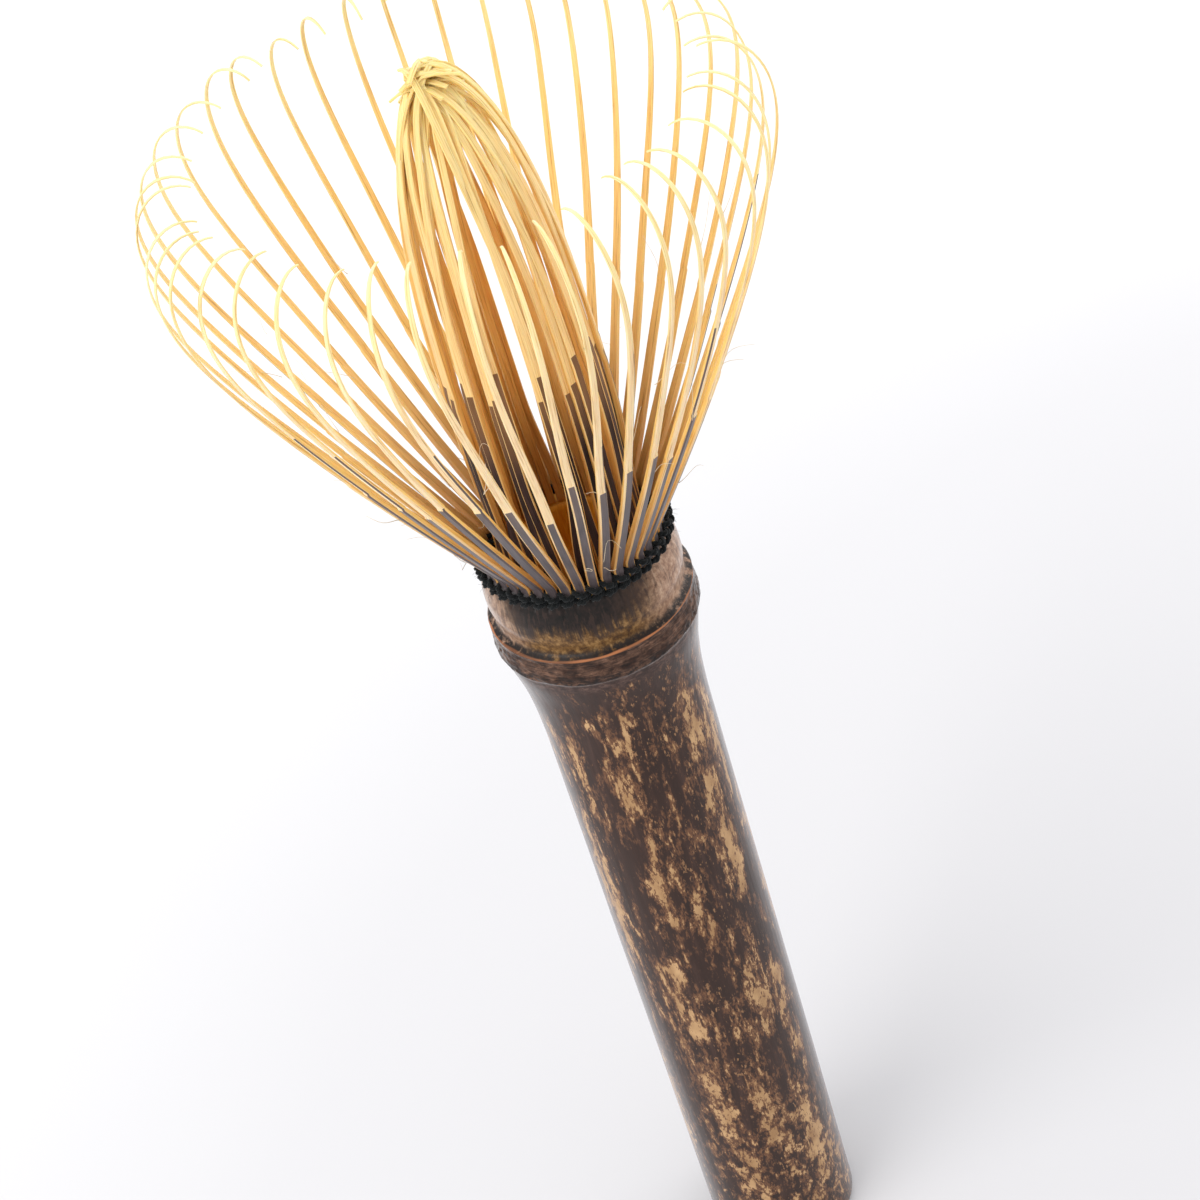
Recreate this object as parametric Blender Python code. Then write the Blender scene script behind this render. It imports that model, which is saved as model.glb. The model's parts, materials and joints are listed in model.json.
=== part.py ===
"""A bamboo tea whisk (chasen) with a long handle: one bamboo culm, two rows of tines, one thread.

Units are metres, +Z is up. The whisk stands on its handle's cut end, with the origin at the middle
of that end and the culm's axis along +Z. Every outer tine is a piece of its own with its origin on
its bending axis, inside the thread. The inner tines are made in forks of three neighbours on one root.
"""

from math import cos, exp, log, pi, sin, tan

import bmesh
import bpy
from mathutils import Vector

MM = 0.001
GAP = 0.3 * MM  # clearance between neighbouring pieces

# Driving dimensions: culm
HANDLE_RADIUS = 9.25 * MM
HOLLOW_RADIUS = 6.4 * MM
NODE_HEIGHT = 108.0 * MM  # the sharp ridge of the bamboo's node, above the cut end
RIDGE_RADIUS = 11.3 * MM
SCAR_RADIUS = 11.4 * MM  # the sheath scar, the thicker ring just below the ridge
COLLAR_RADIUS = 10.6 * MM
COLLAR_TOP = NODE_HEIGHT + 6.9 * MM
WELL_RADIUS = 7.1 * MM  # inside of the collar, above the diaphragm
CULM_SEGMENTS = 40

# Driving dimensions: roots of the tines and the thread
ROOT_BOTTOM = COLLAR_TOP + GAP
HINGE_HEIGHT = ROOT_BOTTOM + 0.8 * MM
THREAD_HEIGHT = 1.7 * MM
THREAD_OUTER_RADIUS = 11.0 * MM
THREAD_SEGMENTS = 42
FACET_SAG = 0.03 * MM  # how far the middle of a ring's facet lies inside its circle

# Driving dimensions: outer tines
OUTER_COUNT = 42
FIRST_ANGLE = -86.8 * pi / 180  # azimuth of outer tine 1
OUTER_ROOT_RADIUS = 10.0 * MM  # outer face at the root
OUTER_ROOT_WIDTH = 1.05 * MM
OUTER_TIP_WIDTH = 0.45 * MM
OUTER_ROOT_THICKNESS = 0.8 * MM
OUTER_TIP_THICKNESS = 0.3 * MM
OUTER_LENGTH = 61.7 * MM
OUTER_SPLAY = 31.8 * pi / 180  # lean away from the axis, just above the thread
OUTER_BEND_START = 1.0 * MM  # length of the upright root inside the thread
OUTER_BEND_LENGTH = 1.2 * MM
OUTER_BOW = 2.7  # radians of gentle inward bow per metre of blade
CURL_RATE = 420.0  # radians per metre in the curl at the tip
CURL_START = 56.8 * MM  # length along the blade where the curl is half grown
CURL_SOFTNESS = 4.56 * MM
OUTER_STATIONS = 12
OUTER_PATH_STEPS = 480  # fine steps along the blade, from which the stations are picked
TURN_PER_METRE = 18.0  # how much a straight length counts against bending when stations are spaced
OUTER_WIDTH_POWER = 1.5  # above 1, the blade keeps its root width for longer
OUTER_THICKNESS_POWER = 0.7  # below 1, the blade thins quickly above its root

# Driving dimensions: inner tines
INNER_COUNT = 42
FORK_TINES = 3
FORK_COUNT = INNER_COUNT // FORK_TINES
INNER_ROOT_RADIUS = 7.95 * MM  # outer face at the root
INNER_THICKNESS = 0.7 * MM
INNER_TIP_THICKNESS = 0.4 * MM
INNER_BULGE_RADIUS = 9.0 * MM
INNER_BULGE_HEIGHT = NODE_HEIGHT + 27.0 * MM
INNER_TIP_RADIUS = 3.4 * MM
INNER_TIP_HEIGHT = NODE_HEIGHT + 64.0 * MM
INNER_GATHER_POWER = 2.1  # above 1, the blades stay upright for longer before they lean to the axis
INNER_STATIONS = 9


def clear_scene():
    for item in list(bpy.data.objects):
        bpy.data.objects.remove(item, do_unlink=True)


def make_material(name, color, roughness):
    material = bpy.data.materials.new(name)
    material.use_nodes = True
    shader = material.node_tree.nodes["Principled BSDF"]
    shader.inputs["Base Color"].default_value = (*color, 1.0)
    shader.inputs["Roughness"].default_value = roughness
    shader.inputs["Metallic"].default_value = 0.0
    return material


def finish_object(name, bm, material, origin=Vector((0, 0, 0)), smooth=False):
    """Writes the bmesh, given in world space, to an object whose origin lies at origin."""
    bmesh.ops.recalc_face_normals(bm, faces=bm.faces)
    bmesh.ops.translate(bm, verts=bm.verts, vec=-origin)
    mesh = bpy.data.meshes.new(name)
    bm.to_mesh(mesh)
    bm.free()
    if smooth:
        mesh.shade_smooth()
        mesh.set_sharp_from_angle(angle=pi / 5)
    mesh.materials.append(material)
    item = bpy.data.objects.new(name, mesh)
    item.location = origin
    bpy.context.scene.collection.objects.link(item)
    return item


def turned(profile, segments, closed):
    """Spins a profile of (radius, height) points round Z into one closed body."""
    bm = bmesh.new()
    verts = [bm.verts.new((r, 0, z)) for r, z in profile]
    edges = [bm.edges.new(pair) for pair in zip(verts, verts[1:])]
    if closed:
        edges.append(bm.edges.new((verts[-1], verts[0])))
    bmesh.ops.spin(
        bm, geom=verts + edges, cent=(0, 0, 0), axis=(0, 0, 1), angle=2 * pi, steps=segments
    )
    bmesh.ops.remove_doubles(bm, verts=bm.verts, dist=0.001 * MM)
    return bm


# Culm: handle, node and collar

def arc(centre_r, centre_z, radius, start, stop, steps):
    """Points on a circle arc; angles in degrees from +radius towards +height."""
    angles = [start + (stop - start) * i / steps for i in range(steps + 1)]
    turns = [a * pi / 180 for a in angles]
    return [(centre_r + radius * cos(t), centre_z + radius * sin(t)) for t in turns]


def handle_outline():
    """The handle's outer side, from the rounded cut end up to the sheath scar."""
    edge = 0.6 * MM
    flare = [(0.0, -13.0), (0.15, -11.0), (0.4, -9.0), (0.8, -7.2), (1.05, -5.6), (1.4, -4.7)]
    points = arc(HANDLE_RADIUS - edge, edge, edge, -90, 0, 3)
    return points + [(HANDLE_RADIUS + dr * MM, NODE_HEIGHT + dz * MM) for dr, dz in flare]


def node_outline():
    """The sheath scar, the ridge, the groove above it and the collar's swell."""
    scar = [(-0.3, -4.1), (0.0, -3.2), (-0.1, -1.6), (-0.2, -0.6)]
    points = [(SCAR_RADIUS + dr * MM, NODE_HEIGHT + dz * MM) for dr, dz in scar]
    points.append((RIDGE_RADIUS, NODE_HEIGHT))
    collar = [(0.45, 0.35), (-0.15, 0.8), (-0.35, 1.3), (-0.15, 2.5), (0.0, 4.2), (-0.05, 5.6)]
    points += [(COLLAR_RADIUS + dr * MM, NODE_HEIGHT + dz * MM) for dr, dz in collar]
    rim = [(COLLAR_RADIUS - 0.3 * MM, COLLAR_TOP - 0.3 * MM), (COLLAR_RADIUS - 0.5 * MM, COLLAR_TOP)]
    return points + rim


def well_outline():
    """The collar's inside, down to the diaphragm's top at the axis."""
    rim = 0.3 * MM
    floor = NODE_HEIGHT - 0.6 * MM
    return [
        (WELL_RADIUS + rim, COLLAR_TOP),
        (WELL_RADIUS, COLLAR_TOP - rim),
        (WELL_RADIUS, NODE_HEIGHT + 1.8 * MM),
        (WELL_RADIUS - 0.5 * MM, NODE_HEIGHT + 0.5 * MM),
        (WELL_RADIUS - 1.6 * MM, NODE_HEIGHT - 0.3 * MM),
        (0.0, floor),
    ]


def hollow_outline():
    """The hollow internode, from the diaphragm's underside down to the open end."""
    ceiling = NODE_HEIGHT - 2.4 * MM
    return [
        (0.0, ceiling),
        (HOLLOW_RADIUS - 1.3 * MM, ceiling - 0.2 * MM),
        (HOLLOW_RADIUS - 0.3 * MM, ceiling - 1.1 * MM),
        (HOLLOW_RADIUS, ceiling - 3.0 * MM),
        (HOLLOW_RADIUS, 0.4 * MM),
        (HOLLOW_RADIUS + 0.4 * MM, 0.0),
    ]


def make_culm():
    skin = make_material("smoked_bamboo_skin", (0.075, 0.045, 0.033), 0.38)
    profile = hollow_outline() + handle_outline() + node_outline() + well_outline()
    finish_object("bamboo_culm", turned(profile, CULM_SEGMENTS, False), skin, smooth=True)


# Thread: the turns outside the outer tines, and the run between the two rows of tines

def ring_profile(inner, outer, bottom, top, bevel):
    """An upright ring section with bevelled corners."""
    return [
        (inner + bevel, bottom),
        (outer - bevel, bottom),
        (outer, bottom + bevel),
        (outer, top - bevel),
        (outer - bevel, top),
        (inner + bevel, top),
        (inner, top - bevel),
        (inner, bottom + bevel),
    ]


def make_thread():
    cotton = make_material("black_cotton_thread", (0.014, 0.017, 0.020), 0.9)
    top = ROOT_BOTTOM + THREAD_HEIGHT
    inner = OUTER_ROOT_RADIUS + GAP + FACET_SAG
    outside = ring_profile(inner, THREAD_OUTER_RADIUS, ROOT_BOTTOM, top, 0.25 * MM)
    finish_object("binding_thread_outer_turns", turned(outside, THREAD_SEGMENTS, True), cotton, smooth=True)
    outer = OUTER_ROOT_RADIUS - OUTER_ROOT_THICKNESS - GAP
    inside = ring_profile(outer - GAP, outer, ROOT_BOTTOM + 0.2 * MM, top - 0.4 * MM, 0.08 * MM)
    finish_object("binding_thread_inner_run", turned(inside, THREAD_SEGMENTS, True), cotton, smooth=True)


# Tines: blades swept up a meridian curve

def between(first, last, share):
    return first + (last - first) * share


def smooth_step(share):
    return share * share * (3 - 2 * share)


def radial(angle):
    return Vector((cos(angle), sin(angle), 0))


def tangential(angle):
    return Vector((-sin(angle), cos(angle), 0))


def blade_rings(bm, angle, stations):
    """Rings of four corners; each station is (outer radius, height, lean, width, thickness)."""
    rings = []
    for r, z, lean, width, thickness in stations:
        face = radial(angle) * r + Vector((0, 0, z))
        inward = (radial(angle) * -cos(lean) + Vector((0, 0, sin(lean)))) * thickness
        side = tangential(angle) * width / 2
        corners = [face - side, face + side, face + side + inward, face - side + inward]
        rings.append([bm.verts.new(corner) for corner in corners])
    return rings


def skin_blade(bm, rings, skipped_sides=()):
    """Faces of a blade. skipped_sides are left open between the first two rings, for a fork's root."""
    bm.faces.new(rings[0])
    for level, (low, high) in enumerate(zip(rings, rings[1:])):
        for i in range(4):
            if level > 0 or i not in skipped_sides:
                j = (i + 1) % 4
                bm.faces.new((low[i], low[j], high[j], high[i]))
    bm.faces.new(rings[-1])


def blade(angle, stations):
    bm = bmesh.new()
    skin_blade(bm, blade_rings(bm, angle, stations))
    return bm


def fork(angle, pitch, stations):
    """Three blades side by side, joined below their second station by a common root."""
    bm = bmesh.new()
    rings = [blade_rings(bm, angle + step * pitch, stations) for step in (-1, 0, 1)]
    for blade_index, skipped in enumerate(((1,), (1, 3), (3,))):
        skin_blade(bm, rings[blade_index], skipped)
    for left, right in zip(rings, rings[1:]):
        low = (left[0][1], right[0][0], right[0][3], left[0][2])
        high = (left[1][1], right[1][0], right[1][3], left[1][2])
        bm.faces.new(low)
        bm.faces.new(high)
        bm.faces.new((low[0], low[1], high[1], high[0]))
        bm.faces.new((low[2], low[3], high[3], high[2]))
    return bm


def outer_lean(s):
    """Lean of the blade from upright, at length s from its root: root, splay, bow, then curl."""
    bend = min(max((s - OUTER_BEND_START) / OUTER_BEND_LENGTH, 0.0), 1.0)
    curl = CURL_RATE * CURL_SOFTNESS * log(1 + exp((s - CURL_START) / CURL_SOFTNESS))
    return smooth_step(bend) * (OUTER_SPLAY - OUTER_BOW * s - curl)


def outer_stations():
    """Stations of an outer tine, closer together in the root's bend and in the curl."""
    step = OUTER_LENGTH / OUTER_PATH_STEPS
    r, z, turn = OUTER_ROOT_RADIUS, ROOT_BOTTOM, 0.0
    path = [(r, z, 0.0)]
    weights = [0.0]
    for i in range(OUTER_PATH_STEPS):
        lean = outer_lean((i + 0.5) * step)
        r += sin(lean) * step
        z += cos(lean) * step
        turn += abs(outer_lean((i + 1) * step) - outer_lean(i * step))
        path.append((r, z, outer_lean((i + 1) * step)))
        weights.append(turn + TURN_PER_METRE * (i + 1) * step)
    stations = []
    for k in range(OUTER_STATIONS + 1):
        wanted = weights[-1] * k / OUTER_STATIONS
        i = min(range(OUTER_PATH_STEPS + 1), key=lambda n: abs(weights[n] - wanted))
        share = i / OUTER_PATH_STEPS
        width = between(OUTER_ROOT_WIDTH, OUTER_TIP_WIDTH, share ** OUTER_WIDTH_POWER)
        thickness = between(OUTER_ROOT_THICKNESS, OUTER_TIP_THICKNESS, share ** OUTER_THICKNESS_POWER)
        stations.append((*path[i], width, thickness))
    return stations


def make_outer_tines():
    split = make_material("split_bamboo_outer", (0.78, 0.52, 0.22), 0.5)
    stations = outer_stations()
    for k in range(OUTER_COUNT):
        angle = FIRST_ANGLE + 2 * pi * k / OUTER_COUNT
        hinge = radial(angle) * (OUTER_ROOT_RADIUS - OUTER_ROOT_THICKNESS / 2) + Vector((0, 0, HINGE_HEIGHT))
        finish_object(f"outer_tine_{k + 1:02d}", blade(angle, stations), split, hinge)


def inner_stations():
    """Stations of an inner tine: upright root, a slight swell, then in to the knot on the axis."""
    half_step = pi / INNER_COUNT
    rise = INNER_TIP_HEIGHT - ROOT_BOTTOM
    swell_share = (INNER_BULGE_HEIGHT - ROOT_BOTTOM) / rise
    root_share = THREAD_HEIGHT / rise
    shares = [0.0] + [root_share + (1 - root_share) * k / INNER_STATIONS for k in range(INNER_STATIONS + 1)]
    stations = []
    for share in shares:
        if share < swell_share:
            t = share / swell_share
            r = between(INNER_ROOT_RADIUS, INNER_BULGE_RADIUS, smooth_step(t))
        else:
            t = (share - swell_share) / (1 - swell_share)
            r = between(INNER_BULGE_RADIUS, INNER_TIP_RADIUS, t ** INNER_GATHER_POWER)
        thickness = between(INNER_THICKNESS, INNER_TIP_THICKNESS, share)
        width = 2 * (r - thickness) * tan(half_step) - GAP
        stations.append((r, ROOT_BOTTOM + rise * share, 0.0, width, thickness))
    return stations


def make_inner_tines():
    split = make_material("split_bamboo_inner", (0.62, 0.36, 0.10), 0.5)
    stations = inner_stations()
    pitch = 2 * pi / INNER_COUNT
    for k in range(FORK_COUNT):
        angle = FIRST_ANGLE + pitch * (FORK_TINES * k + 0.5)
        hinge = radial(angle) * (INNER_ROOT_RADIUS - INNER_THICKNESS / 2) + Vector((0, 0, HINGE_HEIGHT))
        finish_object(f"inner_tine_fork_{k + 1:02d}", fork(angle, pitch, stations), split, hinge)


def main():
    clear_scene()
    make_culm()
    make_thread()
    make_outer_tines()
    make_inner_tines()


main()
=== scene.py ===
"""A bamboo tea whisk with a long smoked handle, standing on a pale floor.

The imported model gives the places: the culm, the thread's ring and the root of every tine. This script
builds the looks round them: the turned and weathered culm, the woven thread, every blade of the outer
row, and the inner blades that gather in a knot. All lengths are metres, +Z is up.
"""

import json
from math import atan2, cos, exp, pi, radians, sin, tan
from random import Random
from typing import NamedTuple

import bpy
import numpy as np
from mathutils import Matrix, Vector, noise


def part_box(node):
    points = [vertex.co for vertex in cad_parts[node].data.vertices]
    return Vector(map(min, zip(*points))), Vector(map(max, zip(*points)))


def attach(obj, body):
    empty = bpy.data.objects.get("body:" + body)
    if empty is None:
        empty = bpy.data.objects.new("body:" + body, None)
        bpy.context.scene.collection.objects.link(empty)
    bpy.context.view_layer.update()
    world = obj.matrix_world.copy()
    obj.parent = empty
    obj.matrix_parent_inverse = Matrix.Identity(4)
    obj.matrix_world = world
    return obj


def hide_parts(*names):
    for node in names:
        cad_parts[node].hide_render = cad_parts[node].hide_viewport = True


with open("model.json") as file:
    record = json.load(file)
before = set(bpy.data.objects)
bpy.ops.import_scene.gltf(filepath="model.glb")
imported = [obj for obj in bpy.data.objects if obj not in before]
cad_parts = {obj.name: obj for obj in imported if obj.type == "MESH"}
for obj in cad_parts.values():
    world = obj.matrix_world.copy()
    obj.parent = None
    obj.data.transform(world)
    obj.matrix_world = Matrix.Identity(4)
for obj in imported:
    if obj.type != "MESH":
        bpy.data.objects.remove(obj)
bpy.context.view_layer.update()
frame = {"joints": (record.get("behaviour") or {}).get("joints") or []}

MM = 0.001
JOINTS = {joint["child"]: joint for joint in frame["joints"]}
OUTER_BODIES = sorted(name for name in JOINTS if name.startswith("outer_tine_"))
FORK_BODIES = sorted(name for name in JOINTS if name.startswith("inner_tine_fork_"))

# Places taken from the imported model
COLLAR_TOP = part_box("bamboo_culm")[1].z
RIDGE = COLLAR_TOP - 6.9 * MM  # the node's sharp ridge
THREAD_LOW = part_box("binding_thread_outer_turns")[0].z
PITCH = 2 * pi / len(OUTER_BODIES)

# Culm; the first five are in millimetres, as its outlines are, with heights counted from the ridge
HANDLE_RADIUS = 9.38
HOLLOW_RADIUS = 6.4
CUT_END = -108.0
CUT_EDGE = 0.6  # the rounding of the cut end's edge
RIM_HEIGHT = 7.2
COLUMNS_PER_TINE = 10
CULM_COLUMNS = COLUMNS_PER_TINE * len(OUTER_BODIES)
SKIN_SLOT, RAW_SLOT = 0, 1  # its two materials
CRACK_DEPTH = 0.32 * MM  # into the collar's outside, between two outer tines
CRACK_SHAPE = {0: 1.0, 1: 0.35, COLUMNS_PER_TINE - 1: 0.35}  # shares of that depth on a crack's columns

# Thread
COURSES = ((THREAD_LOW - 0.02 * MM, 0.20 * MM), (THREAD_LOW + 0.80 * MM, -0.22 * MM))  # level and slant
WEAVE_RADIUS = 9.72 * MM
WEAVE_REACH = 0.86 * MM  # how far a strand swings out and in as it passes the tines
POINTS_PER_TINE = 14
PLY_OFFSET = 0.15 * MM
PLY_RADIUS = 0.20 * MM
PLY_TWIST = 2 * pi / (1.15 * MM)  # radians per metre
PLY_SIDES = 6
HAIRS = 900
HAIR_RADII = (0.016 * MM, 0.014 * MM, 0.012 * MM, 0.006 * MM)
HAIR_SIDES = 3

# Blades of both rows
SECTION_SIDES = 6
INNER_FACE = 0.43  # half the inner face, as a share of the blade's width
BLADE_SHARP_ANGLE = radians(24)
SPLIT_SLOT, LEFT_SKIN_SLOT = 0, 1  # a blade's two materials
SKIN_THICKNESS = 0.11 * MM
OUTER_FACE, RIGHT_CHAMFER, LEFT_CHAMFER = 0, 1, 5  # sides of the section that can have skin

# Outer tines
OUTER_ROOT_RADIUS = 10.0 * MM
OUTER_WIDTHS = (1.14 * MM, 0.36 * MM)  # at the root and near the tip
OUTER_THICKNESSES = (0.88 * MM, 0.14 * MM)
OUTER_SPLAY = (radians(31.2), radians(32.2))  # the whisk has opened a little more on its widest side
OUTER_BEND = (1.0 * MM, 1.2 * MM)  # where the root starts to lean out, and over what length
OUTER_BOW = 2.7  # radians of inward bow per metre
CURL_RATE = (400.0, 450.0)  # radians per metre, once the curl at the tip is full
CURL_START = (56.0 * MM, 58.6 * MM)
CURL_SOFTNESS = 4.56 * MM
CURL_LENGTH = 4.9 * MM  # from the curl's start to the blade's end
WIDEST_SIDE = radians(98)
SKIN_LENGTH = 23.0 * MM  # above this length the dark skin has been shaved off the blades
EDGE_LINE_LENGTHS = (24.0 * MM, 42.0 * MM)  # a sliver of skin left along one edge reaches this far

# Inner tines
INNER_ROOT_RADIUS = 7.95 * MM
INNER_WIDTHS = (1.00 * MM, 0.62 * MM)
INNER_THICKNESSES = (0.80 * MM, 0.24 * MM)
INNER_SKIN_LENGTH = 24.0  # in millimetres
INNER_SPACING = 1.3 * MM  # between a blade's sections
BUNDLE_PLACES = (-1, 0, 1)  # of the three blades on one fork
PARTING = radians(-95.4)  # here the bundles of inner tines stand further apart
PARTING_WIDTH = radians(14)
SWELL_HEIGHT = RIDGE + 25.0 * MM
KNOT_HEIGHT = RIDGE + 63.3 * MM
GATHER_RADIUS = 8.6 * MM
GATHER_HEIGHTS = (RIDGE + 8.5 * MM, RIDGE + 21 * MM)  # a fork's blades draw together between these
CROSSING_HEIGHTS = (RIDGE + 36 * MM, RIDGE + 61 * MM)  # and turn aside into the knot between these
RISE_STEPS = 14  # of a blade's line, up to the swell
KNOT_STEPS = 30  # and from there over the knot

# Loose fibres
FIBRES = 40
FIBRE_STEPS = 8
FIBRE_SIDES = 4

# Seeds of the random draws; each tine adds its number to its row's seed
CRACK_SEED, THREAD_SEED, OUTER_SEED, INNER_SEED, FIBRE_SEED = 31, 7, 1000, 500, 77


# ---------------------------------------------------------------- small helpers

def smooth(value, low=0.0, high=1.0):
    """0 below low, 1 above high, and a smooth step between them."""
    share = min(max((value - low) / (high - low), 0.0), 1.0)
    return share * share * (3 - 2 * share)


def between(first, last, share):
    return first + (last - first) * share


def radial(angle):
    return Vector((cos(angle), sin(angle), 0.0))


def tangential(angle):
    return Vector((-sin(angle), cos(angle), 0.0))


def azimuth_of(body):
    place = JOINTS[body]["pos_m"]
    return atan2(place[1], place[0])


def smooth_curve(points, at):
    """Values of a smooth curve through (x, y) points, at the given x: cubic pieces with averaged slopes."""
    x, y = (np.array(column, float) for column in zip(*points))
    slopes = np.gradient(y, x)
    step = np.diff(y) / np.diff(x)
    slopes[1:-1] = np.where(step[1:] * step[:-1] > 0, slopes[1:-1], 0.0)
    i = np.clip(np.searchsorted(x, at) - 1, 0, len(x) - 2)
    width = x[i + 1] - x[i]
    t = np.clip((at - x[i]) / width, 0, 1)
    a, b = (1 + 2 * t) * (1 - t) ** 2, t * t * (3 - 2 * t)
    c, d = t * (1 - t) ** 2, t * t * (t - 1)
    return a * y[i] + b * y[i + 1] + width * (c * slopes[i] + d * slopes[i + 1])


def make_piece(name, vertices, faces, materials, face_materials=None, sharp=None):
    """A mesh object. face_materials gives each face's slot; above the angle sharp, edges stay hard."""
    mesh = bpy.data.meshes.new(name)
    mesh.from_pydata([tuple(v) for v in vertices], [], faces)
    for material in materials:
        mesh.materials.append(material)
    if face_materials is not None:
        mesh.polygons.foreach_set("material_index", face_materials)
    mesh.shade_smooth()
    if sharp is not None:
        mesh.set_sharp_from_angle(angle=sharp)
    mesh.update()
    piece = bpy.data.objects.new(name, mesh)
    bpy.context.scene.collection.objects.link(piece)
    return piece


def write_attribute(piece, name, kind, values):
    attribute = piece.data.attributes.new(name, kind, "POINT")
    key = "vector" if kind == "FLOAT_VECTOR" else "value"
    attribute.data.foreach_set(key, np.array(values, np.float32).ravel())


def settle(piece, body, slot, *nodes):
    """Puts a finished piece on its body, with the nodes that it stands for hidden; slot is not used."""
    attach(piece, body)
    if nodes:
        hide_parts(*nodes)


def tube(path, radii, sides):
    """Vertices and faces of a tube along path, with a radius for each point and closed ends."""
    points = [Vector(p) for p in path]
    ahead = [(b - a).normalized() for a, b in zip(points, points[1:])]
    ahead.append(ahead[-1])
    side = ahead[0].orthogonal().normalized()
    vertices, faces = [], []
    for point, direction, radius in zip(points, ahead, radii):
        side = (side - direction * side.dot(direction)).normalized()
        other = direction.cross(side)
        for k in range(sides):
            turn = 2 * pi * k / sides
            vertices.append(point + side * (radius * cos(turn)) + other * (radius * sin(turn)))
    for ring in range(len(points) - 1):
        low, high = ring * sides, (ring + 1) * sides
        for k in range(sides):
            j = (k + 1) % sides
            faces.append((low + k, low + j, high + j, high + k))
    faces.append(tuple(range(sides - 1, -1, -1)))
    top = (len(points) - 1) * sides
    faces.append(tuple(range(top, top + sides)))
    return vertices, faces


def join_shapes(shapes):
    """Joins (vertices, faces) pairs into one pair."""
    vertices, faces = [], []
    for some_vertices, some_faces in shapes:
        start = len(vertices)
        vertices.extend(some_vertices)
        faces.extend(tuple(i + start for i in face) for face in some_faces)
    return vertices, faces


# ---------------------------------------------------------------- shading helpers

class Shading:
    """One material's node tree, built with short calls that return sockets."""

    MIX_SHARE, MIX_FIRST, MIX_SECOND, MIX_RESULT = 0, 6, 7, 2  # the Mix node's sockets for colors

    def __init__(self, name):
        self.material = bpy.data.materials.new(name)
        self.material.use_nodes = True
        self.nodes = self.material.node_tree.nodes
        self.links = self.material.node_tree.links
        self.shader = self.nodes["Principled BSDF"]

    def node(self, kind, inputs=(), **settings):
        made = self.nodes.new(kind)
        for key, value in settings.items():
            setattr(made, key, value)
        for key, value in dict(inputs).items():
            self.feed(made.inputs[key], value)
        return made

    def feed(self, socket, value):
        if isinstance(value, bpy.types.NodeSocket):
            self.links.new(value, socket)
        else:
            socket.default_value = (*value, 1.0) if socket.type == "RGBA" and len(value) == 3 else value

    def place(self):
        """The point on the piece, in millimetres."""
        where = self.node("ShaderNodeTexCoord").outputs["Object"]
        return self.scaled(where, (1 / MM,) * 3)

    def attribute(self, name, output):
        return self.node("ShaderNodeAttribute", attribute_name=name).outputs[output]

    def scaled(self, vector, factors):
        made = self.node("ShaderNodeVectorMath", {0: vector, 1: factors}, operation="MULTIPLY")
        return made.outputs["Vector"]

    def part(self, vector, axis):
        return self.node("ShaderNodeSeparateXYZ", {0: vector}).outputs[axis]

    def noise(self, vector, scale, detail, roughness=0.5, distortion=0.0):
        values = {"Vector": vector, "Scale": scale, "Detail": detail}
        values.update({"Roughness": roughness, "Distortion": distortion})
        return self.node("ShaderNodeTexNoise", values).outputs["Fac"]

    def long_noise(self, vector, factors, detail, roughness=0.5, distortion=0.0):
        """Noise with its own number of waves per millimetre along each axis."""
        return self.noise(self.scaled(vector, factors), 1.0, detail, roughness, distortion)

    def math(self, operation, first, second=0.0, clamp=False):
        made = self.node("ShaderNodeMath", {0: first, 1: second}, operation=operation, use_clamp=clamp)
        return made.outputs[0]

    def plus(self, first, second, clamp=False):
        return self.math("ADD", first, second, clamp)

    def minus(self, first, second):
        return self.math("SUBTRACT", first, second)

    def times(self, first, second, clamp=False):
        return self.math("MULTIPLY", first, second, clamp)

    def swing(self, noise, amount):
        """A noise's swing about its middle value, times amount."""
        return self.times(self.minus(noise, 0.5), amount)

    def step(self, value, low, high, start=0.0, end=1.0):
        """A smooth step of value from start, at low, to end, at high."""
        values = {"Value": value, "From Min": low, "From Max": high, "To Min": start, "To Max": end}
        return self.node("ShaderNodeMapRange", values, interpolation_type="SMOOTHSTEP").outputs["Result"]

    def mix(self, share, first, second, blend_type="MIX"):
        made = self.node("ShaderNodeMix", data_type="RGBA", blend_type=blend_type)
        self.feed(made.inputs[self.MIX_SHARE], share)
        self.feed(made.inputs[self.MIX_FIRST], first)
        self.feed(made.inputs[self.MIX_SECOND], second)
        return made.outputs[self.MIX_RESULT]

    def ramp(self, value, stops):
        """A color ramp from (position, color) stops."""
        made = self.node("ShaderNodeValToRGB", {0: value})
        elements = made.color_ramp.elements
        while len(elements) < len(stops):
            elements.new(0.5)
        for element, (position, color) in zip(elements, stops):
            element.position = position
            element.color = (*color, 1.0)
        return made.outputs["Color"]

    def bump(self, height, strength, distance):
        values = {"Height": height, "Strength": strength, "Distance": distance}
        self.set("Normal", self.node("ShaderNodeBump", values).outputs["Normal"])

    def set(self, socket, value):
        self.feed(self.shader.inputs[socket], value)


# ---------------------------------------------------------------- materials

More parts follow.
